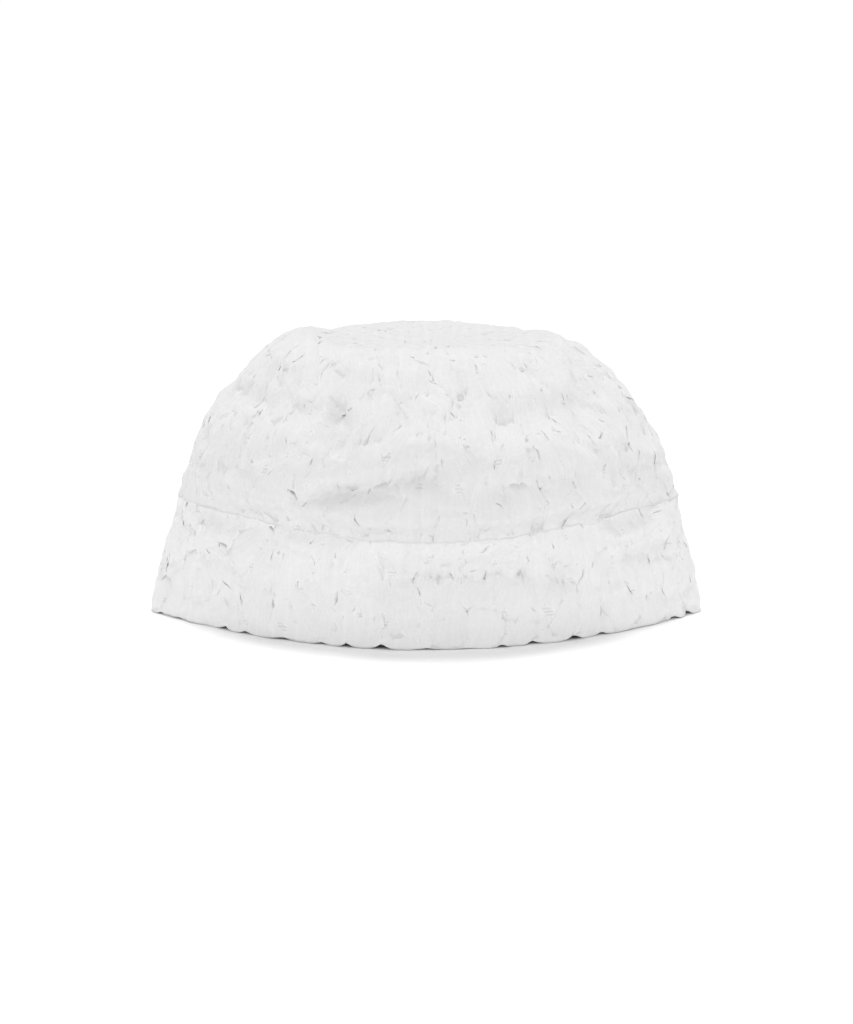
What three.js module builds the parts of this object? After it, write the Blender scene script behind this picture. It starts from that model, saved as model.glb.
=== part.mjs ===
// A soft lace beanie for a baby: a dome crown above a doubled lower band, both covered in rings of
// rounded petals. It stands on its rim and is open underneath, where the head goes in.
// Millimetres, +Z up. The front faces -Y, and the origin is on the ground under the middle.

import * as THREE from 'three';
import { ParametricGeometry } from 'three/addons/geometries/ParametricGeometry.js';

// Cloth
const crownCloth = 1.7; // thickness between the petals
const bandCloth = 2.0; // two layers, where the edge is turned up
const seamHeight = 37.2; // top of the band at the hat's sides
const seamGap = 0.3; // from there to the crown's hem

// Petals
const petalStand = 1.3; // how far the boldest petal's lower edge stands off the cloth
const leastStand = 0.2; // share of that left at the notches
const petalDrop = 3.6; // how far its middle hangs below the notches at its sides
const petalStep = 0.8; // its edge's thickness, measured down the cloth
const ringPitch = 10; // from one ring of petals to the next, about
const columns = 128; // faces around the hat, four to a petal in the large rings

// Levels of the cloth's outer face, one row for each ring of petals, from the bottom up.
// height, halfWidth (along X) and halfDepth (along Y) are sizes at the sides, front and back. dip is how
// far the level sags at the front and back. sideRound rounds the plan's corners at the two sides, where
// the hat was folded flat: 0 is a sharp corner, and past 2 the plan is nearly an ellipse. petals is the
// number in the ring.
const bandLevels = [
  { height: 0, dip: 0, halfWidth: 84.8, halfDepth: 55.2, sideRound: 0.3, petals: 32 },
  { height: 12.4, dip: 1.0, halfWidth: 82.6, halfDepth: 55.4, sideRound: 0.35, petals: 32 },
  { height: 24.8, dip: 2.4, halfWidth: 79.3, halfDepth: 55.8, sideRound: 0.42, petals: 32 },
  { height: seamHeight, dip: 4.0, halfWidth: 77.1, halfDepth: 56.8, sideRound: 0.55, petals: 32 },
];
const crownLevels = [
  { height: seamHeight + seamGap, dip: 4.0, halfWidth: 77.0, halfDepth: 56.9, sideRound: 0.55, petals: 32 },
  { height: 46.2, dip: 3.6, halfWidth: 74.0, halfDepth: 58.8, sideRound: 0.7, petals: 32 },
  { height: 54.7, dip: 3.0, halfWidth: 71.3, halfDepth: 58.2, sideRound: 0.8, petals: 32 },
  { height: 62.7, dip: 2.4, halfWidth: 66.8, halfDepth: 54.8, sideRound: 0.9, petals: 32 },
  { height: 70.2, dip: 1.8, halfWidth: 61.4, halfDepth: 50.0, sideRound: 1.0, petals: 32 },
  { height: 76.8, dip: 1.2, halfWidth: 55.6, halfDepth: 44.4, sideRound: 1.1, petals: 32 },
  { height: 81.8, dip: 0.6, halfWidth: 48.8, halfDepth: 37.8, sideRound: 1.3, petals: 16 },
  { height: 84.6, dip: 0.2, halfWidth: 40.4, halfDepth: 30.2, sideRound: 1.5, petals: 16 },
  { height: 85.4, dip: 0, halfWidth: 30.8, halfDepth: 22.6, sideRound: 2.0, petals: 16 },
  { height: 85.0, dip: 0, halfWidth: 20.6, halfDepth: 15.0, sideRound: 2.0, petals: 8 },
  { height: 84.4, dip: 0, halfWidth: 10.2, halfDepth: 7.4, sideRound: 2.0, petals: 8 },
  { height: 84.0, dip: 0, halfWidth: 0, halfDepth: 0, sideRound: 2.0, petals: 8 },
];

// Folds of the slumped cloth. Each runs straight between two points of the front or back view, given by
// x and z. It is a valley of that depth, or a swelling where the depth is negative. width is the
// distance from its middle line at which it has faded to about a third.
const folds = [
  { side: 'both', x0: -66, z0: 35, x1: 66, z1: 35, width: 3.8, depth: 2.0 }, // crease at the seam
  { side: 'front', x0: -50, z0: 42, x1: 56, z1: 42, width: 6.5, depth: -1.8 }, // crown hangs over it
  { side: 'front', x0: -62, z0: 71, x1: -20, z1: 67.5, width: 3.4, depth: 1.7 }, // crease under the top
  { side: 'front', x0: -20, z0: 67.5, x1: 48, z1: 70, width: 3.4, depth: 1.7 },
  { side: 'front', x0: -42, z0: 41, x1: 2, z1: 54, width: 5.0, depth: 2.6 }, // slanting hollow
  { side: 'front', x0: 2, z0: 61, x1: 42, z1: 60, width: 6.5, depth: -1.7 }, // swelling beside it
  { side: 'front', x0: -14, z0: 20, x1: 36, z1: 21, width: 4.6, depth: 2.2 }, // hollow above the rim
  { side: 'front', x0: 62, z0: 24, x1: 72, z1: 24, width: 3.4, depth: 1.4 },
  { side: 'front', x0: -26, z0: 60, x1: -26, z1: 84, width: 3.0, depth: 2.0 }, // sewn darts
  { side: 'front', x0: 46, z0: 61, x1: 46, z1: 81, width: 3.0, depth: 1.8 },
  { side: 'front', x0: 10, z0: 63, x1: 10, z1: 80, width: 2.6, depth: 0.9 },
  { side: 'both', x0: -42, z0: 84, x1: -38, z1: 86, width: 5.0, depth: -2.4 }, // standing left shoulder
  { side: 'back', x0: -52, z0: 44, x1: 48, z1: 43, width: 6.5, depth: -1.4 },
  { side: 'back', x0: -40, z0: 56, x1: 30, z1: 53, width: 5.0, depth: 2.0 },
  { side: 'back', x0: -34, z0: 66, x1: 52, z1: 70, width: 3.6, depth: 1.6 },
  { side: 'back', x0: -30, z0: 61, x1: -30, z1: 83, width: 3.0, depth: 1.6 },
  { side: 'back', x0: 32, z0: 62, x1: 32, z1: 83, width: 3.0, depth: 1.6 },
  { side: 'back', x0: -30, z0: 18, x1: 22, z1: 20, width: 4.8, depth: 1.8 },
];
const foldTurn = 8; // y within which a front or back fold fades at the sides

// Places of the inner face's rows, from the top down
const crownInnerRows = [0.9, 0.8, 0.66, 0.52, 0.38, 0.24, 0.12];
const bandInnerRows = [0.66, 0.33];
const belowPole = 0.99; // the highest place where the plan still has a direction

// A smooth curve through the rows of a table, at t from 0, its first row, to 1, its last.
function levelAt(levels, t) {
  const place = THREE.MathUtils.clamp(t, 0, 1) * (levels.length - 1);
  const first = Math.min(Math.floor(place), levels.length - 2);
  const f = place - first;
  const near = [-1, 0, 1, 2].map((k) => levels[THREE.MathUtils.clamp(first + k, 0, levels.length - 1)]);
  const smooth = (name) => {
    const [a, b, c, d] = near.map((row) => row[name]);
    return b + 0.5 * f * (c - a + f * (2 * a - 5 * b + 4 * c - d + f * (3 * (b - c) + d - a)));
  };
  const names = ['height', 'dip', 'halfWidth', 'halfDepth', 'sideRound'];
  return Object.fromEntries(names.map((name) => [name, smooth(name)]));
}

// The smooth cloth before folds. The angle is 0 at the front and turns anticlockwise.
function smoothCloth(levels, t, angle) {
  const { height, dip, halfWidth, halfDepth, sideRound } = levelAt(levels, t);
  const c = Math.cos(angle);
  const depth = halfDepth * c * Math.hypot(c, sideRound) / Math.hypot(1, sideRound);
  return new THREE.Vector3(halfWidth * Math.sin(angle), -depth, height - dip * c * c);
}

// The plan of the cloth at one level, as a closed curve.
class PlanOutline extends THREE.Curve {
  constructor(levels, t) {
    super();
    this.levels = levels;
    this.t = t;
  }

  getPoint(turn) {
    return smoothCloth(this.levels, this.t, 2 * Math.PI * turn);
  }
}

// Angles that part the plan into equal lengths of cloth, so that petals keep their width at its corners.
function evenAngles(levels, t) {
  const outline = new PlanOutline(levels, Math.min(t, belowPole));
  return Array.from({ length: columns }, (_, i) => 2 * Math.PI * outline.getUtoTmapping(i / columns));
}

// The cloth's direction outwards: across its run around the hat and its run up.
function outwards(levels, t, angle) {
  const step = 1e-4;
  const low = Math.min(t, belowPole);
  const here = smoothCloth(levels, low, angle);
  const around = smoothCloth(levels, low, angle + step).sub(here);
  const up = smoothCloth(levels, low + step, angle).sub(here);
  return around.cross(up).normalize();
}

// How deep the folds lie at a point, all together.
function foldDepth(point) {
  let sum = 0;
  for (const fold of folds) {
    const run = new THREE.Vector2(fold.x1 - fold.x0, fold.z1 - fold.z0);
    const reach = new THREE.Vector2(point.x - fold.x0, point.z - fold.z0);
    const along = THREE.MathUtils.clamp(reach.dot(run) / run.lengthSq(), 0, 1);
    const distance = reach.addScaledVector(run, -along).length() / fold.width;
    const towards = { front: -point.y, back: point.y, both: foldTurn }[fold.side];
    const near = THREE.MathUtils.smoothstep(towards, -foldTurn, foldTurn);
    sum += fold.depth * near * Math.exp(-distance * distance);
  }
  return sum;
}

// Where a point is on its petal: lobe is 1 at the petal's middle and 0 at the notches. Rings are laid
// like scales, each half a petal on from the one below. boldness differs from petal to petal.
function petalAt(ring, petals, around) {
  const place = around * petals + (ring % 2) / 2;
  const number = Math.round(place) % petals;
  const scatter = 43758.5453 * Math.abs(Math.sin(12.9898 * number + 78.233 * ring));
  return { lobe: Math.abs(Math.cos(Math.PI * place)), boldness: 0.5 + 0.5 * (scatter % 1) };
}

// Rows of an outer face from its hem up. Each ring of petals has two: the cloth that its edge hangs
// over, and the edge itself, which stands off. The lowest ring hangs over the hem.
function outerRows(levels) {
  const last = levels.length - 1;
  const rows = [{ t: 0, hem: true }];
  for (let ring = 0; ring < last; ring++) {
    const petals = levels[ring].petals;
    if (ring > 0) rows.push({ t: ring / last, ring, petals });
    rows.push({ t: ring / last, ring, petals, edge: true });
  }
  return rows;
}

// A closed shell of cloth through rows that run down its inner face and up its outer face.
function clothShell(levels, rows, cloth) {
  const perMillimetre = 1 / ringPitch / (levels.length - 1);
  const angles = rows.map((row) => evenAngles(levels, row.t));
  const place = (u, v, target) => {
    const index = Math.round(v * (rows.length - 1));
    const column = Math.round(u * columns) % columns;
    const { ring, petals, edge, hem, inner, pole } = rows[index];
    const angle = angles[index][column];
    let t = rows[index].t;
    let raised = inner ? -cloth : 0;
    if (petals) {
      const { lobe, boldness } = petalAt(ring, petals, column / columns);
      t += (petalDrop * (1 - lobe) + (edge ? petalStep : 0)) * perMillimetre;
      if (edge) raised = petalStand * boldness * THREE.MathUtils.lerp(leastStand, 1, lobe);
    }
    target.copy(smoothCloth(levels, t, angle));
    const normal = pole ? new THREE.Vector3(0, 0, 1) : outwards(levels, t, angle);
    if (hem) normal.setZ(0).normalize(); // hems stay level
    const folded = pole ? 0 : foldDepth(target);
    target.addScaledVector(normal, raised - folded);
  };
  return new ParametricGeometry(place, columns, rows.length - 1);
}

const laceMaterial = () => new THREE.MeshStandardMaterial({ color: 0xf4f3f1, roughness: 0.9, metalness: 0 });

function crownPiece() {
  const rows = [
    { t: 1, pole: true, inner: true },
    ...crownInnerRows.map((t) => ({ t, inner: true })),
    { t: 0, hem: true, inner: true },
    ...outerRows(crownLevels),
    { t: 1, pole: true },
  ];
  const mesh = new THREE.Mesh(clothShell(crownLevels, rows, crownCloth), laceMaterial());
  mesh.name = 'crown';
  return mesh;
}

function bandPiece() {
  const topEdge = { t: 1, hem: true, inner: true };
  const rows = [
    topEdge,
    ...bandInnerRows.map((t) => ({ t, inner: true })),
    { t: 0, hem: true, inner: true },
    ...outerRows(bandLevels),
    { t: 1, hem: true },
    topEdge,
  ];
  const mesh = new THREE.Mesh(clothShell(bandLevels, rows, bandCloth), laceMaterial());
  mesh.name = 'band';
  return mesh;
}

const beanie = new THREE.Group();
beanie.add(crownPiece(), bandPiece());

export default beanie;
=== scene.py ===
import bmesh
import bpy
import numpy as np
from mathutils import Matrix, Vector


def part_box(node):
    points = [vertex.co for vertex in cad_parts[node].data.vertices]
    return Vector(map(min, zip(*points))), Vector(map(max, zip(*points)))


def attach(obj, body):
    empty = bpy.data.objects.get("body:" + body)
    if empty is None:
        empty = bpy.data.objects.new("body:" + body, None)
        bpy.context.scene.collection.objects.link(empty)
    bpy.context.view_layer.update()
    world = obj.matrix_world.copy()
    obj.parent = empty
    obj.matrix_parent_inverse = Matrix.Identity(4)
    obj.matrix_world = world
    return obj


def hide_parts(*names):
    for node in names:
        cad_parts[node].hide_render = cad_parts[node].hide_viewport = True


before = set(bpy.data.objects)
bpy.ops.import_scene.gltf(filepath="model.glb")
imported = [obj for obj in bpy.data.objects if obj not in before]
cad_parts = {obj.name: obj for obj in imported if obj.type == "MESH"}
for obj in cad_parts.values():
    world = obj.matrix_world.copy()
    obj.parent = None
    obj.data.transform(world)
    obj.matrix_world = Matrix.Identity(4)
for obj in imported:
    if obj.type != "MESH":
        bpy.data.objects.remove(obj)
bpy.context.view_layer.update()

# The cloth's smooth outer face, a row for each level from the rim up to the middle of the top, in
# millimetres: height at the hat's two sides, how far the level sags at the front and back, half its
# width and depth, and how round its corners are at the sides (0 is sharp, past 2 nearly an ellipse).
levelTable = np.array([
    (0.0, 0.0, 86.0, 55.2, 0.30),
    (12.4, 1.0, 83.6, 55.4, 0.35),
    (24.8, 2.4, 80.0, 55.8, 0.42),
    (37.2, 4.0, 77.1, 56.8, 0.55),
    (46.2, 3.6, 74.0, 58.8, 0.70),
    (54.7, 3.0, 71.3, 58.2, 0.80),
    (62.7, 2.4, 66.8, 54.8, 0.90),
    (70.2, 1.8, 61.4, 50.0, 1.00),
    (76.8, 1.2, 55.6, 44.4, 1.10),
    (82.2, 0.0, 49.8, 38.2, 1.30),
    (85.5, -0.6, 41.6, 30.8, 1.50),
    (85.7, -0.4, 32.0, 23.2, 2.00),
    (84.7, 0.0, 21.2, 15.4, 2.00),
    (83.4, 0.0, 10.2, 7.4, 2.00),
    (82.8, 0.0, 0.0, 0.0, 2.00),
], dtype=[(name, float) for name in ("height", "dip", "halfWidth", "halfDepth", "sideRound")])
seamLevel = 3  # where the crown is sewn to the band
topLevel = len(levelTable) - 1
nearTop = topLevel - 0.1  # the cloth has no direction at the very middle, so it is taken just beside it
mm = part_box("band")[1].z / levelTable["height"][seamLevel]  # a millimetre of the tables, in metres

# Folds of the cloth, each along a line of the front or back view: x and z of its two ends, the width
# over which it fades out, and its depth, which is negative for a swelling.
foldTable = np.array([
    ("both", -66, 35, -25, 35, 4.0, 2.7),  # crease at the seam, deeper towards the sides
    ("both", -20, 35, 26, 35, 2.4, 1.2),
    ("both", 31, 35, 66, 35, 4.0, 2.7),
    ("front", -58, 42, -18, 40, 5.0, -2.6),  # the crown hangs over it
    ("front", -12, 40, 16, 40, 5.0, -1.4),
    ("front", 20, 40, 58, 43, 5.0, -2.6),
    ("front", -62, 71, -24, 67.5, 2.6, 1.1),  # crease under the top
    ("front", -10, 67, 48, 70, 2.6, 0.5),
    ("front", 22, 65, 50, 69, 6.0, 1.8),  # soft hollow on the right
    ("front", -42, 41, 2, 54, 5.0, 3.0),  # slanting hollow, with a sharp crease along it
    ("front", -34, 45, -2, 54, 1.5, 1.4),
    ("front", 2, 61, 42, 60, 6.5, -2.0),  # swelling beside it
    ("front", -12, 21, 40, 22, 6.2, 3.2),  # hollow above the rim and its crease
    ("front", -8, 20.5, 30, 21.5, 1.5, 1.4),
    ("front", 62, 24, 72, 24, 3.4, 1.6),
    ("front", -26, 60, -26, 82, 2.8, 2.2),  # sewn darts
    ("front", 46, 61, 46, 81, 2.8, 2.0),
    ("front", 10, 63, 10, 80, 2.4, 1.1),
    ("both", -42, 84, -38, 86, 6.0, -1.8),  # standing left shoulder
    ("back", -52, 44, 48, 43, 6.5, -1.8),
    ("back", -40, 56, 30, 53, 5.0, 2.4),
    ("back", -34, 66, 52, 70, 3.6, 1.8),
    ("back", -30, 61, -30, 83, 3.0, 1.8),
    ("back", 32, 62, 32, 83, 3.0, 1.8),
    ("back", -30, 18, 22, 20, 4.8, 2.0),
], dtype=[("side", "U5")] + [(name, float) for name in ("x0", "z0", "x1", "z1", "width", "depth")])
foldTurn = 8  # y over which a front or back fold fades out at the sides


def smoothColumn(name, up):
    # A cubic through each four neighbouring rows of one column of the level table.
    column = levelTable[name]
    first = np.clip(np.floor(up), 0, topLevel - 1).astype(int)
    f = np.clip(up, 0, topLevel) - first
    a, b, c, d = (column[np.clip(first + k, 0, topLevel)] for k in (-1, 0, 1, 2))
    return b + 0.5 * f * (c - a + f * (2 * a - 5 * b + 4 * c - d + f * (3 * (b - c) + d - a)))


def smoothCloth(angle, up):
    # x = halfWidth sin(angle), y = -halfDepth cos(angle) hypot(cos(angle), round) / hypot(1, round),
    # z = height - dip cos(angle)^2. The angle is 0 at the front and turns anticlockwise.
    c = np.cos(angle)
    sideRound = smoothColumn("sideRound", up)
    x = smoothColumn("halfWidth", up) * np.sin(angle)
    y = -smoothColumn("halfDepth", up) * c * np.hypot(c, sideRound) / np.hypot(1, sideRound)
    return np.stack([x, y, smoothColumn("height", up) - smoothColumn("dip", up) * c * c], -1)


# Tables that part each level into equal lengths of cloth, and the way up into millimetres of cloth
tableLook = {"levels": 57, "turns": 361, "angles": 1441, "short": 0.05}  # short of the middle, in levels
tableLevels = np.linspace(0, topLevel - tableLook["short"], tableLook["levels"])
tableTurns = np.linspace(0, 1, tableLook["turns"])
fineAngles = np.linspace(0, 2 * np.pi, tableLook["angles"])
outlines = smoothCloth(fineAngles[None, :], tableLevels[:, None])
runs = np.cumsum(np.linalg.norm(np.diff(outlines, axis=1), axis=-1), 1)
runs = np.concatenate([np.zeros((len(runs), 1)), runs], 1)
girths = runs[:, -1]
evenAngles = np.array([np.interp(tableTurns * run[-1], run, fineAngles) for run in runs])
climbs = np.cumsum(np.linalg.norm(np.diff(outlines, axis=0), axis=-1).mean(1))
climbs = np.concatenate([[0], climbs])
seamClimb = np.interp(seamLevel, tableLevels, climbs)
flatClimb = seamClimb + 42  # past it the lace's pattern lies flat across the top
print("hat", round(girths[0]), "mm round the rim,", round(climbs[-1]), "mm of cloth up to the middle")


def angleAt(around, up):
    # Angle at a share of the way round a level, looked up between the table's rows and columns.
    i, j = np.broadcast_arrays(np.clip(up / tableLevels[1], 0, len(tableLevels) - 1.001),
                               np.mod(around, 1) * (len(tableTurns) - 1))
    i0, j0 = i.astype(int), np.minimum(j.astype(int), len(tableTurns) - 2)
    fi, fj = i - i0, j - j0
    low = evenAngles[i0, j0] * (1 - fj) + evenAngles[i0, j0 + 1] * fj
    high = evenAngles[i0 + 1, j0] * (1 - fj) + evenAngles[i0 + 1, j0 + 1] * fj
    return low * (1 - fi) + high * fi


def foldDepth(points):
    # Sum of depth exp(-(distance / width)^2) over the folds, each faded out beyond its own side.
    total = np.zeros(points.shape[:-1])
    for fold in foldTable:
        run = np.array([fold["x1"] - fold["x0"], fold["z1"] - fold["z0"]])
        reach = points[..., [0, 2]] - [fold["x0"], fold["z0"]]
        along = np.clip(reach @ run / (run @ run), 0, 1)
        distance = np.linalg.norm(reach - along[..., None] * run, axis=-1) / fold["width"]
        towards = {"front": -points[..., 1], "back": points[..., 1]}.get(fold["side"], foldTurn)
        near = np.clip(towards / foldTurn / 2 + 0.5, 0, 1)
        total += fold["depth"] * near ** 2 * (3 - 2 * near) * np.exp(-distance ** 2)
    return total


crumpleLook = {"waves": 14, "lengths": (9, 34), "heights": (0.08, 0.18)}
crumpleRng = np.random.default_rng(7)
crumpleWaves = crumpleRng.normal(0, 1, (crumpleLook["waves"], 3))
crumpleLengths = np.geomspace(*crumpleLook["lengths"], crumpleLook["waves"])
crumpleWaves *= (2 * np.pi / crumpleLengths / np.linalg.norm(crumpleWaves, axis=1))[:, None]
crumpleHeights = np.geomspace(*crumpleLook["heights"], crumpleLook["waves"])
crumplePhases = crumpleRng.uniform(0, 2 * np.pi, crumpleLook["waves"])


def crumple(points):
    # Soft unevenness: a sum of sines along random directions.
    return (np.sin(points @ crumpleWaves.T + crumplePhases) * crumpleHeights).sum(-1)


def clothFrame(around, climb):
    # The folded cloth's place, and its unit directions around, down and outwards: the smooth cloth,
    # moved in by the depth of the folds along the cross product of its two slopes.
    step = 1e-3
    up = np.minimum(np.interp(climb, climbs, tableLevels), nearTop)
    angle = angleAt(around, up)
    here = smoothCloth(angle, up)
    side = smoothCloth(angle + step, up) - here
    out = np.cross(side, smoothCloth(angle, up + step) - here)
    side /= np.linalg.norm(side, axis=-1, keepdims=True)
    out /= np.linalg.norm(out, axis=-1, keepdims=True)
    lift = crumple(here) - foldDepth(here)
    return here + out * lift[..., None], side, np.cross(side, out), out


floorGap = 0.05  # least height over the floor


def onCloth(around, climb, lift):
    # A point at a height over the cloth, measured along its outward direction.
    place, _, _, out = clothFrame(around, climb)
    point = place + out * lift[..., None]
    point[..., 2] = np.maximum(point[..., 2], floorGap)
    return point


def girthAt(climb):
    # Millimetres round the hat at a climb, looked up in the table.
    return np.interp(climb, climbs, girths)


def addPiece(name, points, faces, corners, places, fields, material, cloth):
    # A mesh of points in millimetres, with a lace UV and a UV of places on the cloth for each corner
    # of each face and named fields for each point, thickened inwards to a sheet of cloth.
    mesh = bpy.data.meshes.new(name)
    mesh.from_pydata((points.reshape(-1, 3) * mm).tolist(), [], faces.tolist())
    mesh.uv_layers.new(name="lace").uv.foreach_set("vector", corners.astype(np.float32).ravel())
    mesh.uv_layers.new(name="place").uv.foreach_set("vector", places.astype(np.float32).ravel())
    for field, values in fields.items():
        mesh.attributes.new(field, "FLOAT", "POINT").data.foreach_set(
            "value", values.astype(np.float32).ravel())
    mesh.materials.append(material)
    mesh.shade_smooth()
    piece = bpy.data.objects.new(name, mesh)
    bpy.context.scene.collection.objects.link(piece)
    sheet = piece.modifiers.new("cloth", "SOLIDIFY")
    sheet.thickness = cloth * mm
    sheet.offset = -1
    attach(piece, "root")
    print(name, len(faces), "faces")
    return piece


def joinPoints(piece):
    # Joins the points of a piece that lie on each other, where cloth is drawn together or closes.
    joined = bmesh.new()
    joined.from_mesh(piece.data)
    bmesh.ops.remove_doubles(joined, verts=joined.verts, dist=1e-3 * mm)
    joined.to_mesh(piece.data)
    joined.free()


def gridFaces(rows, columns):
    # Corner numbers of the faces between the points of a grid, row by row.
    first = np.arange(rows - 1)[:, None] * columns + np.arange(columns - 1)
    return np.stack([first, first + 1, first + columns + 1, first + columns], -1).reshape(-1, 4)


def wrapAround(points, uvs):
    # Joins the last column of a grid to its first, so its faces close round the hat.
    rows, columns = points.shape[:2]
    first = np.arange(rows - 1)[:, None] * columns + np.arange(columns)
    after = np.arange(rows - 1)[:, None] * columns + (np.arange(columns) + 1) % columns
    faces = np.stack([first, after, after + columns, first + columns], -1).reshape(-1, 4)
    corners = np.stack([uvs[:-1, :-1], uvs[:-1, 1:], uvs[1:, 1:], uvs[1:, :-1]], 2).reshape(-1, 4, 2)
    return faces, corners


def layFlat(points, climb, faces, corners, unit):
    # On the top the UV is x and y over a unit, so the lace isn't drawn to a point with the cloth.
    onTop = climb[faces[:, 0] // points.shape[1]] > flatClimb
    corners[onTop] = points.reshape(-1, 3)[faces[onTop]][..., :2] / unit


def newGroup(name, inputs, outputs):
    # A shader group with its input sockets and their values, and its output sockets.
    group = bpy.data.node_groups.new(name, "ShaderNodeTree")
    for socket, kind, value in inputs:
        made = group.interface.new_socket(socket, in_out="INPUT", socket_type="NodeSocket" + kind)
        if value is not None:
            made.default_value = value
    for socket, kind in outputs:
        group.interface.new_socket(socket, in_out="OUTPUT", socket_type="NodeSocket" + kind)
    return group, group.nodes.new("NodeGroupInput"), group.nodes.new("NodeGroupOutput")


def addNode(tree, kind, values=(), **settings):
    # A node with its settings, and its inputs in order: a socket is linked, None is left alone.
    node = tree.nodes.new("ShaderNode" + kind)
    for setting, value in settings.items():
        setattr(node, setting, value)
    for place, value in enumerate(values):
        if isinstance(value, bpy.types.NodeSocket):
            tree.links.new(value, node.inputs[place])
        elif value is not None:
            node.inputs[place].default_value = value
    return node


def maths(tree, operation, *values):
    # One step of arithmetic on numbers.
    return addNode(tree, "Math", values, operation=operation).outputs[0]


def vectors(tree, operation, *values):
    # The same on vectors: a length comes out as a number, all else as a vector.
    node = addNode(tree, "VectorMath", values, operation=operation)
    return node.outputs["Value" if operation == "LENGTH" else "Vector"]


def ramp(tree, value, low, high, start=0.0, end=1.0, ease="LINEAR"):
    # From start to end while the value goes from low to high.
    return addNode(tree, "MapRange", (value, low, high, start, end), interpolation_type=ease).outputs[0]


def grain(tree, place):
    # Noise in clumps about 2 mm long.
    noise = addNode(tree, "TexNoise", (place,))
    noise.inputs["Scale"].default_value = 420
    noise.inputs["Detail"].default_value = 3
    return noise.outputs["Fac"]


def netHoles():
    # Round holes in rows set half a hole apart: the distance to the nearest hole's middle, from two
    # oblong lattices wrapped to one cell, is compared with the hole's radius.
    tree, given, result = newGroup("netHoles", [
        ("Vector", "Vector", None), ("Hole", "Float", 0.2), ("Edge", "Float", 0.05),
    ], [("Mask", "Float"), ("Height", "Float")])
    halfCell = (0.5, 0.866, 0.5)
    near = []
    for shift in ((0, 0, 0), halfCell):
        moved = vectors(tree, "ADD", given.outputs["Vector"], shift)
        wrapped = vectors(tree, "WRAP", moved, halfCell, tuple(-v for v in halfCell))
        near.append(vectors(tree, "LENGTH", vectors(tree, "MULTIPLY", wrapped, (1, 1, 0))))
    distance = maths(tree, "MINIMUM", *near)
    low = maths(tree, "SUBTRACT", given.outputs["Hole"], given.outputs["Edge"])
    high = maths(tree, "ADD", given.outputs["Hole"], given.outputs["Edge"])
    thread = ramp(tree, distance, low, high, ease="SMOOTHSTEP")
    tree.links.new(thread, result.inputs["Mask"])
    tree.links.new(maths(tree, "MULTIPLY", thread, distance), result.inputs["Height"])
    return tree


weaveLook = {
    "drift": 2.2, "thin": 3.0, "arcs": 0.5,  # bending of the threads, their power, share of the arcs
    "border": (0.93, 0.99),  # v from which the bound edge begins, and where it is full
    "threadPale": 0.25, "borderPale": 0.55, "tonePale": 0.3, "mottlePale": 0.3, "darker": 0.15,
    "borderHigh": 1.2, "crumpleHigh": 7.0, "crumpleDrawn": (1, 1, 0.4),  # clumps drawn out upwards
}


def petalWeave():
    # Threads that fan out from the root, u, crossed by arcs along the edge, v, each a sine raised to
    # a thin line, with a paler bound edge, a shade for each petal and soft mottling.
    tree, given, result = newGroup("petalWeave", [
        ("Vector", "Vector", None), ("Place", "Vector", None), ("Tone", "Float", 0.5),
        ("Cloth", "Color", (0.8, 0.8, 0.8, 1)), ("Thread", "Color", (0.9, 0.9, 0.9, 1)),
        ("Fans", "Float", 11.0), ("Arcs", "Float", 9.0), ("Cord", "Float", 0.0),
    ], [("Color", "Color"), ("Height", "Float")])
    split = addNode(tree, "SeparateXYZ", (given.outputs["Vector"],))
    mottle = grain(tree, given.outputs["Place"])
    drift = maths(tree, "MULTIPLY", mottle, weaveLook["drift"])
    lines = []
    for axis, count in (("X", "Fans"), ("Y", "Arcs")):
        turns = maths(tree, "MULTIPLY", split.outputs[axis], given.outputs[count])
        wave = maths(tree, "SINE", maths(tree, "MULTIPLY_ADD", turns, 2 * np.pi, drift))
        wave = maths(tree, "MULTIPLY_ADD", wave, 0.5, 0.5)
        lines.append(maths(tree, "POWER", wave, weaveLook["thin"]))
    threads = maths(tree, "MULTIPLY_ADD", lines[1], weaveLook["arcs"], lines[0])
    border = ramp(tree, split.outputs["Y"], *weaveLook["border"], ease="SMOOTHSTEP")
    border = maths(tree, "ADD", border, given.outputs["Cord"])
    shade = maths(tree, "MULTIPLY", border, weaveLook["borderPale"])
    shade = maths(tree, "MULTIPLY_ADD", threads, weaveLook["threadPale"], shade)
    shade = maths(tree, "MULTIPLY_ADD", given.outputs["Tone"], weaveLook["tonePale"], shade)
    shade = maths(tree, "MULTIPLY_ADD", mottle, weaveLook["mottlePale"], shade)
    colour = addNode(tree, "Mix", data_type="RGBA", clamp_factor=True)
    tree.links.new(maths(tree, "SUBTRACT", shade, weaveLook["darker"]), colour.inputs["Factor"])
    tree.links.new(given.outputs["Cloth"], colour.inputs[6])  # 6, 7 and 2 are its colour sockets
    tree.links.new(given.outputs["Thread"], colour.inputs[7])
    tree.links.new(colour.outputs[2], result.inputs["Color"])
    drawnOut = vectors(tree, "MULTIPLY", given.outputs["Place"], weaveLook["crumpleDrawn"])
    height = maths(tree, "MULTIPLY_ADD", border, weaveLook["borderHigh"], threads)
    height = maths(tree, "MULTIPLY_ADD", grain(tree, drawnOut), weaveLook["crumpleHigh"], height)
    tree.links.new(height, result.inputs["Height"])
    return tree


slitLook = {
    "across": 11.0, "gap": 0.4, "window": 6.5,
    "gapFrom": 0.3, "windowFrom": 0.85,  # strength of a crease from which its slit and window open
    "veil": 0.88, "threads": 0.07, "pace": 1.1,  # cover left in a slit, its threads and their spacing
    "soft": 0.08,  # softness of its edge
    "cord": (0.15, 0.6, 0.8, 0.0),  # from and to this far beside it, and how pale at each
    "cordGap": 0.1,  # gap at which the cord is full
}


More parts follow.
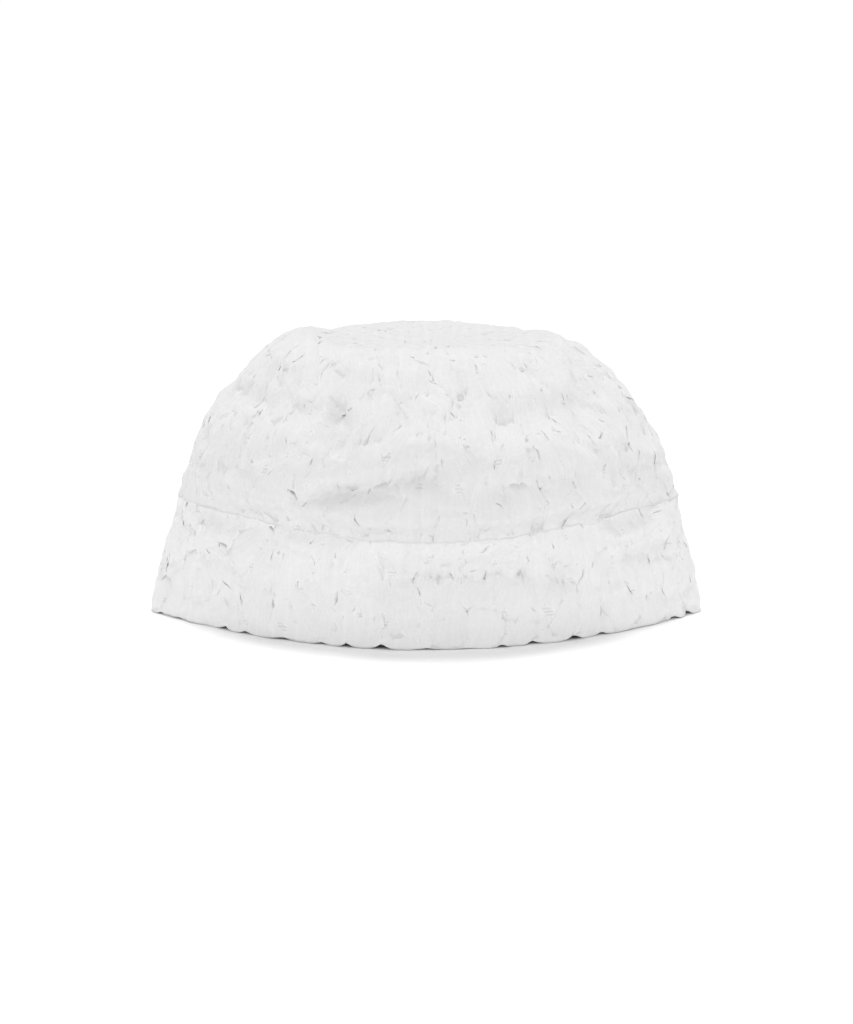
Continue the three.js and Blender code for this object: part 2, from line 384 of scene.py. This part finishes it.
def clothSlits():
    # Slits along the creases of the gathers, the whole numbers of u: the distance to the nearest one,
    # about in millimetres, is compared with a gap that grows with v and opens into a window where v
    # is near 1. Threads across it, sines of the height, leave a veil, and each side has a pale cord.
    tree, given, result = newGroup("clothSlits", [
        ("Vector", "Vector", None), ("Place", "Vector", None), ("Across", "Float", slitLook["across"]),
        ("Gap", "Float", slitLook["gap"]), ("Window", "Float", slitLook["window"]),
        ("Veil", "Float", slitLook["veil"]), ("Threads", "Float", slitLook["threads"]),
    ], [("Mask", "Float"), ("Cord", "Float")])
    split = addNode(tree, "SeparateXYZ", (given.outputs["Vector"],))
    height = addNode(tree, "SeparateXYZ", (given.outputs["Place"],)).outputs["Z"]
    beside = maths(tree, "ABSOLUTE", maths(tree, "WRAP", split.outputs["X"], 0.5, -0.5))
    beside = maths(tree, "MULTIPLY", beside, given.outputs["Across"])
    gap = maths(tree, "SUBTRACT", split.outputs["Y"], slitLook["gapFrom"])
    gap = maths(tree, "MULTIPLY", gap, given.outputs["Gap"])
    over = maths(tree, "SUBTRACT", split.outputs["Y"], slitLook["windowFrom"])
    over = maths(tree, "MAXIMUM", over, 0.0)
    gap = maths(tree, "MULTIPLY_ADD", over, given.outputs["Window"], gap)
    edge = maths(tree, "SUBTRACT", beside, gap)
    threads = maths(tree, "SINE", maths(tree, "MULTIPLY", height, 2 * np.pi / (slitLook["pace"] * mm)))
    veil = maths(tree, "MULTIPLY_ADD", threads, given.outputs["Threads"], given.outputs["Veil"])
    mask = ramp(tree, edge, -slitLook["soft"], slitLook["soft"], veil)
    tree.links.new(mask, result.inputs["Mask"])
    cord = ramp(tree, edge, *slitLook["cord"])
    opened = ramp(tree, gap, 0.0, slitLook["cordGap"])
    tree.links.new(maths(tree, "MULTIPLY", cord, opened), result.inputs["Cord"])
    return tree


netGroup, weaveGroup, slitGroup = netHoles(), petalWeave(), clothSlits()


def clothMaterial(name, group, bumpStrength, bumpHeight, roughness):
    # A material with a shader group on its lace UV, and the group's height on its bump.
    material = bpy.data.materials.new(name)
    material.use_nodes = True
    tree = material.node_tree
    shader = tree.nodes["Principled BSDF"]
    pattern = addNode(tree, "Group", node_tree=group)
    tree.links.new(addNode(tree, "UVMap", uv_map="lace").outputs[0], pattern.inputs["Vector"])
    bump = addNode(tree, "Bump")
    bump.inputs["Strength"].default_value = bumpStrength
    bump.inputs["Distance"].default_value = bumpHeight * mm
    tree.links.new(pattern.outputs["Height"], bump.inputs["Height"])
    tree.links.new(bump.outputs[0], shader.inputs["Normal"])
    shader.inputs["Roughness"].default_value = roughness
    shader.inputs["Specular IOR Level"].default_value = 0.3
    return material, shader, pattern


def laceMaterial(name, greys, threads):
    # Petal cloth: woven threads on the base colour and height, and slits cut through by the alpha.
    material, shader, weave = clothMaterial(name, weaveGroup, bumpStrength=0.35, bumpHeight=0.09,
                                            roughness=0.85)
    tree = material.node_tree
    place = addNode(tree, "TexCoord").outputs["Object"]
    tree.links.new(place, weave.inputs["Place"])
    tone = addNode(tree, "Attribute", attribute_name="tone")
    tree.links.new(tone.outputs["Fac"], weave.inputs["Tone"])
    for part, grey in zip(("Cloth", "Thread"), greys):
        weave.inputs[part].default_value = (grey, grey, grey, 1)
    weave.inputs["Fans"].default_value, weave.inputs["Arcs"].default_value = threads
    tree.links.new(weave.outputs["Color"], shader.inputs["Base Color"])
    slits = addNode(tree, "Group", node_tree=slitGroup)
    tree.links.new(addNode(tree, "UVMap", uv_map="place").outputs[0], slits.inputs["Vector"])
    tree.links.new(place, slits.inputs["Place"])
    tree.links.new(slits.outputs["Mask"], shader.inputs["Alpha"])
    tree.links.new(slits.outputs["Cord"], weave.inputs["Cord"])
    shader.inputs["Sheen Weight"].default_value = 0.1
    return material


def netMaterial(name, colour):
    # Tulle: the net's mask is its alpha, and its height rounds the threads.
    material, shader, net = clothMaterial(name, netGroup, bumpStrength=0.5, bumpHeight=0.15,
                                          roughness=0.8)
    material.node_tree.links.new(net.outputs["Mask"], shader.inputs["Alpha"])
    shader.inputs["Base Color"].default_value = colour
    return material


laceLook = {
    # The crown's greys are painted darker than the band's, a painted shade that takes out the extra light
    # its top gets from the lamp high above; the lace is the same white all over
    "crown": (0.653, 0.725), "band": (0.698, 0.771),  # greys of the cloth and of its threads
    "net": (0.93, 0.93, 0.93, 1),
    "petalThreads": (11, 9), "matThreads": (3, 1.7),  # threads that fan out, and arcs
}
# The crown's lace and mat, used also by the top petals, carry the crown's painted shade
crownLace = laceMaterial("crownLace", laceLook["crown"], laceLook["petalThreads"])
bandLace = laceMaterial("bandLace", laceLook["band"], laceLook["petalThreads"])
crownMat = laceMaterial("crownMat", laceLook["crown"], laceLook["matThreads"])
bandMat = laceMaterial("bandMat", laceLook["band"], laceLook["matThreads"])
crownTulle = netMaterial("crownTulle", laceLook["net"])
bandTulle = netMaterial("bandTulle", laceLook["net"])
print("materials")

# Fine ruffles of the lace, mostly upright, with a whole number of each wave to a turn
ruffleLook = {
    "waves": 30, "lengths": (4, 14), "slant": 0.5, "heights": (0.025, 0.05),
    "girth": 300,  # below this girth they and the puffs grow less
}
ruffleRng = np.random.default_rng(5)
ruffleLong = np.geomspace(*ruffleLook["lengths"], ruffleLook["waves"])
ruffleSlant = ruffleRng.normal(0, ruffleLook["slant"], ruffleLook["waves"])
ruffleTurns = np.round(girths[0] * np.cos(ruffleSlant) / ruffleLong)
ruffleClimbs = np.sin(ruffleSlant) / ruffleLong
rufflePhases = ruffleRng.uniform(0, 1, ruffleLook["waves"])
ruffleHeights = np.geomspace(*ruffleLook["heights"], ruffleLook["waves"])


def wanderer(seed, turns, long):
    # A random field that closes round the hat: the sum of six sines with whole numbers of turns and
    # lengths up the cloth from long to three times long, divided by the root of half their number.
    sines = 6
    rng = np.random.default_rng(seed)
    count = rng.integers(-turns, turns + 1, sines)
    rise = rng.uniform(long, 3 * long, sines)
    phase = rng.uniform(0, 1, sines)

    def field(around, climb):
        waves = around[..., None] * count + climb[..., None] / rise + phase
        return np.sin(2 * np.pi * waves).sum(-1) / np.sqrt(sines / 2)

    return field


# Gathers: wavy upright creases, crossed by dips between rows of puffs
gatherLook = {
    "across": 12.0, "up": 9.5, "sway": 2.2,
    "narrow": 0.85, "depth": 0.25,
    "puff": 0.6, "puffMean": 0.55, "puffPowers": (0.6, 0.9),
    "sidePuff": 0.6,  # how much higher the puffs are at the hat's two sides
    "strength": 0.2, "wander": 0.5,  # of the creases, from 0 to 1
    "rim": (0.3, 8, 6),  # how much stronger near the rim, at what climb and over what width
    "top": (0.2, 68, 25),  # how much weaker near the top, from what climb and over what length
    "girth": (250, 90),  # the girth at which creases end, and how much more has them all
}
gatherCount = round(girths[0] / gatherLook["across"])
swayAcross = wanderer(seed=9, turns=14, long=12)
swayUp = wanderer(seed=10, turns=14, long=12)
creaseField = wanderer(seed=11, turns=40, long=6)


def gatherPlaces(around, climb):
    # The count of creases round the hat to a point, moved sideways by its sway, and the creases'
    # strength there: strength + rim exp(-((climb - at) / width)^2) - top times the share of the way
    # to the top + wander times the field, kept from 0 to 1, and less where the girth is small.
    around, climb = np.broadcast_arrays(around, climb)
    sway = swayAcross(around, climb) * gatherLook["sway"] / gatherLook["across"]
    more, at, width = gatherLook["rim"]
    less, above, over = gatherLook["top"]
    strength = (gatherLook["strength"] + more * np.exp(-((climb - at) / width) ** 2)
                - less * np.clip((climb - above) / over, 0, 1))
    strength = np.clip(strength + gatherLook["wander"] * creaseField(around, climb), 0, 1)
    least, span = gatherLook["girth"]
    return around * gatherCount + sway, strength * np.clip((girthAt(climb) - least) / span, 0, 1)


def ruffles(around, climb, creased=1):
    # The sum of height sin(2 pi (turns around + climb share + phase)), puffs that are
    # |sin(pi column)|^0.6 |sin(pi row)|^0.9 less 0.55, higher at the sides by sin(2 pi around)^6, and
    # creases depth exp(-(distance / narrow)^2).
    around, climb = np.broadcast_arrays(around, climb)
    turns = around[..., None] * ruffleTurns + climb[..., None] * ruffleClimbs + rufflePhases
    fine = (np.sin(2 * np.pi * turns) * ruffleHeights).sum(-1)
    fade = np.clip(girthAt(climb) / ruffleLook["girth"], 0, 1)
    column, strength = gatherPlaces(around, climb)
    row = (climb + swayUp(around, climb) * gatherLook["sway"]) / gatherLook["up"]
    powerAcross, powerUp = gatherLook["puffPowers"]
    puff = np.abs(np.sin(np.pi * column)) ** powerAcross * np.abs(np.sin(np.pi * row)) ** powerUp
    puff -= gatherLook["puffMean"]
    puff *= gatherLook["puff"] + gatherLook["sidePuff"] * np.sin(2 * np.pi * around) ** 6
    beside = np.abs(np.mod(column + 0.5, 1) - 0.5) * girthAt(climb) / gatherCount
    crease = creased * strength * np.exp(-(beside / gatherLook["narrow"]) ** 2)
    return (fine + puff) * fade - crease * gatherLook["depth"]


hemLook = {
    "least": 0.15, "high": 2.2,  # climb of the rim's edge in a lobe, and how far it can be drawn up
    "share": 0.55, "wander": 0.3, "smallest": 0.1,  # of the height, and how much creases differ
    "power": 1.5,  # more for narrower notches between the lobes
    "row": 40.0,  # climb at which the creases' field is read
}


def hemAt(around):
    # The rim's lower edge, drawn up between lobes: least + high share (1 - |sin(pi column)|)^power,
    # where each crease has a share of its own, read off one row of the creases' field.
    column = gatherPlaces(around, np.zeros(1))[0]
    wander = creaseField(around, np.full(np.shape(around), hemLook["row"]))
    share = np.clip(hemLook["share"] + hemLook["wander"] * wander, hemLook["smallest"], 1)
    drawnUp = (1 - np.abs(np.sin(np.pi * column))) ** hemLook["power"]
    return hemLook["least"] + hemLook["high"] * share * drawnUp


netLook = {
    "columns": 320, "crownRows": 98, "bandRows": 36, "hole": 1.07, "cloth": 0.3,
    "sink": 0.24,  # how far the net lies inside the petals' roots
    "tuck": (-6.0, -3.0, -0.8),  # rows of the crown that go down inside the seam
    "tuckSink": 0.6, "start": 1.0,  # how much deeper they lie, and where the next row is
    "double": 1.2,  # space between the band's two layers
    "fold": ((0.5, -0.1), (0.3, 0.2), (0.5, 0.7)),  # the fold at the rim: climb, and share of the space
    "low": 1.2, "outer": 0.4,  # the layers' lowest climb, and how far the outer one is kept over the hem
}


def holeCounts(run):
    # The net's UV in holes: a whole number of them to a turn, and the run of each row upwards.
    u = np.arange(netLook["columns"] + 1) / netLook["columns"] * round(girths[0] / netLook["hole"])
    return np.stack(np.broadcast_arrays(u[None, :], run[:, None] / netLook["hole"]), -1)


def addCrownNet():
    # Rows from a tucked edge inside the band, up over the crown to a small ring at the middle, which
    # is drawn together to a point. Its UV counts holes around and up, and flat across the top.
    tucked = seamClimb + np.array(netLook["tuck"])
    rising = np.linspace(seamClimb + netLook["start"], climbs[-1], netLook["crownRows"])
    climb = np.concatenate([tucked, rising])
    sink = np.full(len(climb), netLook["sink"])
    sink[:len(tucked)] += netLook["tuckSink"]
    around = np.arange(netLook["columns"]) / netLook["columns"]
    lift = ruffles(around[None, :], climb[:, None]) - sink[:, None]
    points = onCloth(around[None, :], climb[:, None], lift)
    points[-1] = points[-1].mean(0)
    faces, corners = wrapAround(points, holeCounts(climb))
    layFlat(points, climb, faces, corners, netLook["hole"])
    net = addPiece("crownNet", points, faces, corners, corners, {}, crownTulle,
                   netLook["cloth"])
    joinPoints(net)
    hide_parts("crown")


def addBandNet():
    # The band is one cloth folded in two: a closed strip down its outer face, round the fold at the
    # rim, up its inner face and over at the seam. Where the hem is drawn up, its low rows go with it.
    rows = netLook["bandRows"]
    down = np.linspace(seamClimb, netLook["low"], rows)
    foldClimb, foldLayer = np.transpose(netLook["fold"])
    climb = np.concatenate([down, foldClimb, down[::-1], [seamClimb]])
    layer = np.concatenate([np.zeros(rows), foldLayer, np.ones(rows), [0]])
    sink = netLook["sink"] + layer * netLook["double"]
    around = np.arange(netLook["columns"]) / netLook["columns"]
    outer = np.arange(len(climb)) < rows
    raised = np.maximum(climb[:, None], hemAt(around) + netLook["outer"] * outer[:, None])
    lift = ruffles(around[None, :], raised) - sink[:, None]
    points = onCloth(around[None, :], raised, lift)
    run = np.concatenate([[0], np.cumsum(np.abs(np.diff(climb)) + np.abs(np.diff(sink)))])
    faces, corners = wrapAround(points, holeCounts(run))
    faces, corners = faces[:, ::-1], corners[:, ::-1]  # the strip runs down, so its faces turn over
    net = addPiece("bandNet", points, faces, corners, corners, {}, bandTulle,
                   netLook["cloth"])
    joinPoints(net)
    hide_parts("band")


addCrownNet()
addBandNet()

groundLook = {
    "columns": 400, "pace": 0.95, "cloth": 0.1, "tone": 0.5,
    "under": 0.5, "short": 0.2,  # how far below the seam the crown's begins and the band's ends
    "over": 0.15,  # how far the crown's stands over the band's there
    "unit": 12.0, "shift": 12.0,  # of the UV: v stays under 0, clear of the weave's bound edge
}


def addGround(name, material, low, high):
    # The matted cloth the petals are sewn to: an open strip of ruffled rows from low to high, drawn
    # up with the hem. The crown's is lifted by over exp(-(climb past the seam)), and its last row is
    # drawn together to a point.
    columns, rows = groundLook["columns"], round((high - low) / groundLook["pace"])
    turn = np.arange(columns + 1)[None, :] / columns
    climb = np.maximum(np.linspace(low, high, rows)[:, None], hemAt(turn))
    isCrown = high > seamClimb
    over = groundLook["over"] * np.exp(-np.maximum(climb - seamClimb, 0)) * isCrown
    points = onCloth(turn, climb, ruffles(turn, climb) + over)[:, :-1]
    faces, places = wrapAround(points, np.stack(gatherPlaces(turn, climb), -1))
    corners = wrapAround(points, np.stack(np.broadcast_arrays(turn * girths[0], climb), -1))[1]
    if isCrown:
        points[-1] = points[-1].mean(0)
        layFlat(points, climb[:, 0], faces, corners, 1)
    corners = corners / groundLook["unit"] - [0, groundLook["shift"]]
    tone = np.full(points.shape[:2], groundLook["tone"])
    ground = addPiece(name, points, faces, corners, places, {"tone": tone}, material,
                      groundLook["cloth"])
    joinPoints(ground)


addGround("crownGround", crownMat,
          low=seamClimb - groundLook["under"], high=climbs[-1])
addGround("bandGround", bandMat,
          low=hemLook["least"], high=seamClimb - groundLook["short"])

petalLook = {
    "segments": 20, "rings": 6,  # faces along the edge, and from the root out to it
    "width": 13.0, "length": 16.5, "lengthShare": (0.9, 1.1),
    "neck": 0.7,  # share of the width at the root
    "wrap": 2.35, "wrapShare": (0.94, 1.04),  # how far the round edge comes back on itself
    "square": 0.75,  # 1 for an ellipse, less for squarer petals
    "scallops": ((4, 0.05), (9, 0.05), (17, 0.035)), "scallopShare": (0.3, 1.6),  # number and depth
    "phase": (0, 6.3), "waves": (3, 7), "lapSides": (0.2, 0.8),  # shares that lap to either side
    "puff": (0.07, 0.18), "edge": (-0.11, -0.02), "lap": (0.0, 0.035), "ruffle": (0.01, 0.035),
    "root": (-0.06, 0.02), "rootSunk": 0.15,
    "spin": 0.42,
    "creased": 0.45,  # share of the creases' depth that petals follow
    "over": 1.5,  # how far the crown's lowest petals hang over the seam
    "soft": 0.7,  # roundness of the line where petals are drawn in to the seam or the hem
    "seamFlat": (0.75, 2.5),  # how much flatter petals are at the seam, and over what width
    "topFlat": (120, 190, 0.25),  # girth where they would be flat, how much more for all, the least
    "cloth": 0.08,
}


def petalShapes(rng, width, length):
    # For a run of -1 to 1 along the edge and v from 0 at the root to 1: the root is a short straight
    # neck, the edge a squarish ellipse through an angle of run times wrap about its middle, swelled by
    # 1 + the sum of depth cos(number angle), and a point lies between the two by v. Its height is
    # 4 puff v (1 - v) + edge v^2 + lap v sin(angle) + ruffle v^2 sin(waves angle) less rootSunk
    # (1 - v)^4, so that it starts inside the ground, swells and comes back to it at the edge.
    count = len(width)

    def drawn(low, high):
        return rng.uniform(low, high, (count, 1, 1))

    width, length = width[:, None, None], length[:, None, None]
    v = np.linspace(0, 1, petalLook["rings"] + 1)[None, :, None]
    run = np.linspace(-1, 1, petalLook["segments"] + 1)[None, None, :]
    angle = run * petalLook["wrap"] * drawn(*petalLook["wrapShare"])
    phase, square = petalLook["phase"], petalLook["square"]
    swell = 1
    for number, depth in petalLook["scallops"]:
        depth = depth * drawn(*petalLook["scallopShare"])
        swell = swell + depth * np.cos(number * angle + drawn(*phase))
    across = width / 2 * np.sign(angle) * np.abs(np.sin(angle)) ** square * swell
    along = length / 2 * (1 + np.sign(np.cos(angle)) * np.abs(np.cos(angle)) ** square * swell)
    s = (1 - v) * run * petalLook["neck"] * width / 2 + v * across
    t = v * along
    side = rng.choice([-1, 1], (count, 1, 1), p=petalLook["lapSides"])
    h = 4 * drawn(*petalLook["puff"]) * v * (1 - v) + drawn(*petalLook["edge"]) * v ** 2
    h = h + drawn(*petalLook["lap"]) * side * np.sin(angle) * v
    ruffle = drawn(*petalLook["ruffle"]) * v ** 2
    h = h + ruffle * np.sin(drawn(*petalLook["waves"]) * angle + drawn(*phase))
    h = h - petalLook["rootSunk"] * (1 - v) ** 4
    uv = np.stack(np.broadcast_arrays(run / 2 + 0.5, v + 0 * angle), -1)
    return s, t, h, uv, np.broadcast_to(drawn(0, 1), s.shape)


# The levels of the top, taken as ellipses of the shape that one of them has
topLook = {"lowest": 8.5, "oval": topLevel - 3, "steps": 80}
topLevels = np.linspace(topLook["lowest"], nearTop, topLook["steps"])
topWidths = smoothColumn("halfWidth", topLevels)
topStretch = levelTable["halfWidth"][topLook["oval"]] / levelTable["halfDepth"][topLook["oval"]]
topRow = np.searchsorted(tableLevels, topLook["oval"])


def placesOnTop(points):
    # Share of the way round and climb of the cloth straight under points near the middle of the top,
    # from the angle and length of (x, y stretched to a circle).
    x, y = points[..., 0], points[..., 1] * topStretch
    around = np.interp(np.mod(np.arctan2(x, -y), 2 * np.pi), evenAngles[topRow], tableTurns)
    level = np.interp(-np.hypot(x, y), -topWidths, topLevels)
    return around, np.interp(level, tableLevels, climbs)


def drawnIn(distance):
    # A distance kept over 0, rounded off near it: soft log(1 + exp(distance / soft)).
    return petalLook["soft"] * np.logaddexp(0, distance / petalLook["soft"])


def addPetals(name, material, zone, rng, around, climb, spin, width, length, root):
    # Petals on the cloth: each one's flat shape is turned by its spin and laid on the cloth from its
    # root, around by s over the girth and down by t, and drawn in where it would cross the seam or
    # the hem. Those of the top are laid straight across it, and dropped on to the cloth.
    s, t, h, uv, tone = petalShapes(rng, width, length)
    turn = spin[:, None, None]
    s, t = s * np.cos(turn) + t * np.sin(turn), t * np.cos(turn) - s * np.sin(turn)
    flatGirth, span, least = petalLook["topFlat"]
    high = np.clip((girthAt(climb) - flatGirth) / span, least, 1)
    h = h * high[:, None, None] + root[:, None, None]
    if zone == "top":
        place, side, down = (part[:, None, None] for part in clothFrame(around, climb)[:3])
        turned, reach = placesOnTop(place + side * s[..., None] + down * t[..., None])
    else:
        above = 1 if zone == "crown" else -1
        edge = seamClimb - petalLook["over"] * (above > 0)
        reach = edge + above * drawnIn(above * (climb[:, None, None] - t - edge))
        turned = around[:, None, None] + s / girthAt(reach)
        hem = hemAt(turned)
        reach = hem + drawnIn(reach - hem)
    pressed, over = petalLook["seamFlat"]
    h = h * (1 - pressed * np.exp(-((reach - seamClimb) / over) ** 2))
    points = onCloth(turned, reach, h + ruffles(turned, reach, petalLook["creased"]))
    count, rows, columns = s.shape
    faces = gridFaces(rows, columns)[None] + (np.arange(count) * rows * columns)[:, None, None]
    places = np.stack(gatherPlaces(turned, reach), -1)
    corners, places = (field.reshape(count, -1, 2)[:, gridFaces(rows, columns)].reshape(-1, 4, 2)[:, ::-1]
                       for field in (uv, places))
    addPiece(name, points, faces.reshape(-1, 4)[:, ::-1], corners, places,
             {"tone": tone}, material, petalLook["cloth"])


rowLook = {
    "across": 12.2, "girth": 240,  # below this girth a row has a count of its own, this far apart
    "band": [13.6, 22.8, 32.0, 40.0],
    "crown": seamClimb + np.array([9.0, 18.5, 28.0, 37.5, 47.0, 56.5, 66.0, 75.0, 83.0]),
    "top": seamClimb + np.array([88.0, 92.0, 96.0]),
    "jitter": 0.2, "jitterUp": 2.5, "middle": 7,  # middle: from a petal's root down to its middle
    "sizes": (0.75, 1.2),
    "small": 0.15,  # share of petals with a small one laid over them
    "smallSizes": (0.4, 0.6), "smallAside": 0.4, "smallDown": 4, "smallSpin": 3.1,
}


def petalRows(rng, climbRows):
    # Places in rows round the hat, each petal jittered and moved with the sway of the gathers.
    around, climb = [], []
    jitter, jitterUp = rowLook["jitter"], rowLook["jitterUp"]
    for row in climbRows:
        girth = girthAt(row)
        count = gatherCount if girth > rowLook["girth"] else max(3, round(girth / rowLook["across"]))
        middle = (np.arange(count) + 0.5) / count
        sway = swayAcross(middle, np.full(count, row - rowLook["middle"]))
        sway = sway * gatherLook["sway"] / gatherLook["across"]
        around.append(middle - sway / gatherCount + rng.uniform(-jitter, jitter, count) / count)
        climb.append(row + rng.uniform(-jitterUp, jitterUp, count))
    return np.concatenate(around), np.concatenate(climb)


def addPetalRows(name, material, zone, seed):
    # The rows of a zone, with small petals laid over a share of theirs, at random sizes and spins.
    rng = np.random.default_rng(seed)
    around, climb = petalRows(rng, rowLook[zone])
    count = len(around)
    small = rng.random(count) < rowLook["small"]
    extra, aside, turn = small.sum(), rowLook["smallAside"], rowLook["smallSpin"]
    around = np.concatenate([around, around[small] + rng.uniform(-aside, aside, extra) / count])
    climb = np.concatenate([climb, climb[small] - rng.uniform(0, rowLook["smallDown"], extra)])
    size = np.concatenate([rng.uniform(*rowLook["sizes"], count),
                           rng.uniform(*rowLook["smallSizes"], extra)])
    spin = np.concatenate([rng.normal(0, petalLook["spin"], count), rng.uniform(-turn, turn, extra)])
    addPetals(
        name, material, zone, rng, around, climb, spin,
        width=petalLook["width"] * size,
        length=petalLook["length"] * size * rng.uniform(*petalLook["lengthShare"], len(size)),
        root=rng.uniform(*petalLook["root"], len(size)))


addPetalRows("bandPetals", bandLace, "band", seed=22)
addPetalRows("crownPetals", crownLace, "crown", seed=31)
addPetalRows("topPetals", crownLace, "top", seed=41)
print("petals")

# Half its size in metres, its grey for the camera, and its grey for light that bounces off it
floorLook = {"halfSize": 12.0, "seen": 0.92, "bounce": 0.9}
floorMesh = bpy.data.meshes.new("floor")
half = floorLook["halfSize"]
floorMesh.from_pydata([(-half, -half, 0), (half, -half, 0), (half, half, 0), (-half, half, 0)],
                      [], [(0, 1, 2, 3)])
floor = bpy.data.objects.new("floor", floorMesh)
bpy.context.scene.collection.objects.link(floor)
floorPaint = bpy.data.materials.new("floorPaint")
floorPaint.use_nodes = True
floorTree = floorPaint.node_tree
floorShader = floorTree.nodes["Principled BSDF"]
floorSeen = addNode(floorTree, "LightPath").outputs["Is Camera Ray"]
floorGrey = ramp(floorTree, floorSeen, 0.0, 1.0, floorLook["bounce"], floorLook["seen"])
floorTree.links.new(floorGrey, floorShader.inputs["Base Color"])
floorShader.inputs["Roughness"].default_value = 1
floorShader.inputs["Specular IOR Level"].default_value = 0
floorMesh.materials.append(floorPaint)

lightLook = {
    "sky": 0.58, "background": 1.0,  # the sky as light, and as the camera sees it
    "topPower": 1.72, "topSoft": 20, "topTilt": 14.8,  # a lamp high behind the hat, in degrees
    "aimHeight": 0.04,  # of the soft lamps
}
# Soft lamps: place, width and height in metres, and power
lampTable = {
    "frontLamp": ((0.0, -1.25, 0.3), (4.4, 0.9), 11.2),
    "leftLamp": ((-1.3, -0.35, 0.3), (1.2, 0.9), 4.3),
    "rightLamp": ((1.3, -0.35, 0.3), (1.2, 0.9), 4.3),
}


def hang(name, thing, place, target):
    # Puts a lamp or a camera at a place and aims it at a target.
    holder = bpy.data.objects.new(name, thing)
    holder.location = place
    direction = Vector(target) - holder.location
    holder.rotation_euler = direction.to_track_quat("-Z", "Y").to_euler()
    bpy.context.scene.collection.objects.link(holder)
    return holder


world = bpy.data.worlds.new("studio")
world.use_nodes = True
bpy.context.scene.world = world
skyTree = world.node_tree
sky = skyTree.nodes["Background"]
sky.inputs["Color"].default_value = (1, 1, 1, 1)
skySeen = addNode(skyTree, "LightPath").outputs["Is Camera Ray"]
skyPower = maths(skyTree, "MULTIPLY_ADD", skySeen, lightLook["background"] - lightLook["sky"],
                 lightLook["sky"])
skyTree.links.new(skyPower, sky.inputs["Strength"])

topLamp = bpy.data.lights.new("topLamp", "SUN")
topLamp.energy = lightLook["topPower"]
topLamp.angle = np.radians(lightLook["topSoft"])
tilt = np.radians(lightLook["topTilt"])
hang("topLamp", topLamp, (0, np.sin(tilt), np.cos(tilt)), (0, 0, 0))
for name, (place, size, power) in lampTable.items():
    lamp = bpy.data.lights.new(name, "AREA")
    lamp.shape = "RECTANGLE"
    lamp.size, lamp.size_y = size
    lamp.energy = power
    hang(name, lamp, place, (0, 0, lightLook["aimHeight"]))

cameraLook = {
    "distance": 1.1, "elevation": 11.0, "aimHeight": 0.0311,
    "lens": 149.7, "sensor": 36, "clip": (0.05, 60),
}
camera = bpy.data.cameras.new("camera")
camera.sensor_width = cameraLook["sensor"]
camera.sensor_fit = "HORIZONTAL"
camera.lens = cameraLook["lens"]
camera.clip_start, camera.clip_end = cameraLook["clip"]
elevation = np.radians(cameraLook["elevation"])
cameraPlace = (0, -cameraLook["distance"] * np.cos(elevation),
               cameraLook["aimHeight"] + cameraLook["distance"] * np.sin(elevation))
bpy.context.scene.camera = hang("camera", camera, cameraPlace, (0, 0, cameraLook["aimHeight"]))
bpy.context.scene.view_settings.view_transform = "Standard"
print("floor, light and camera")
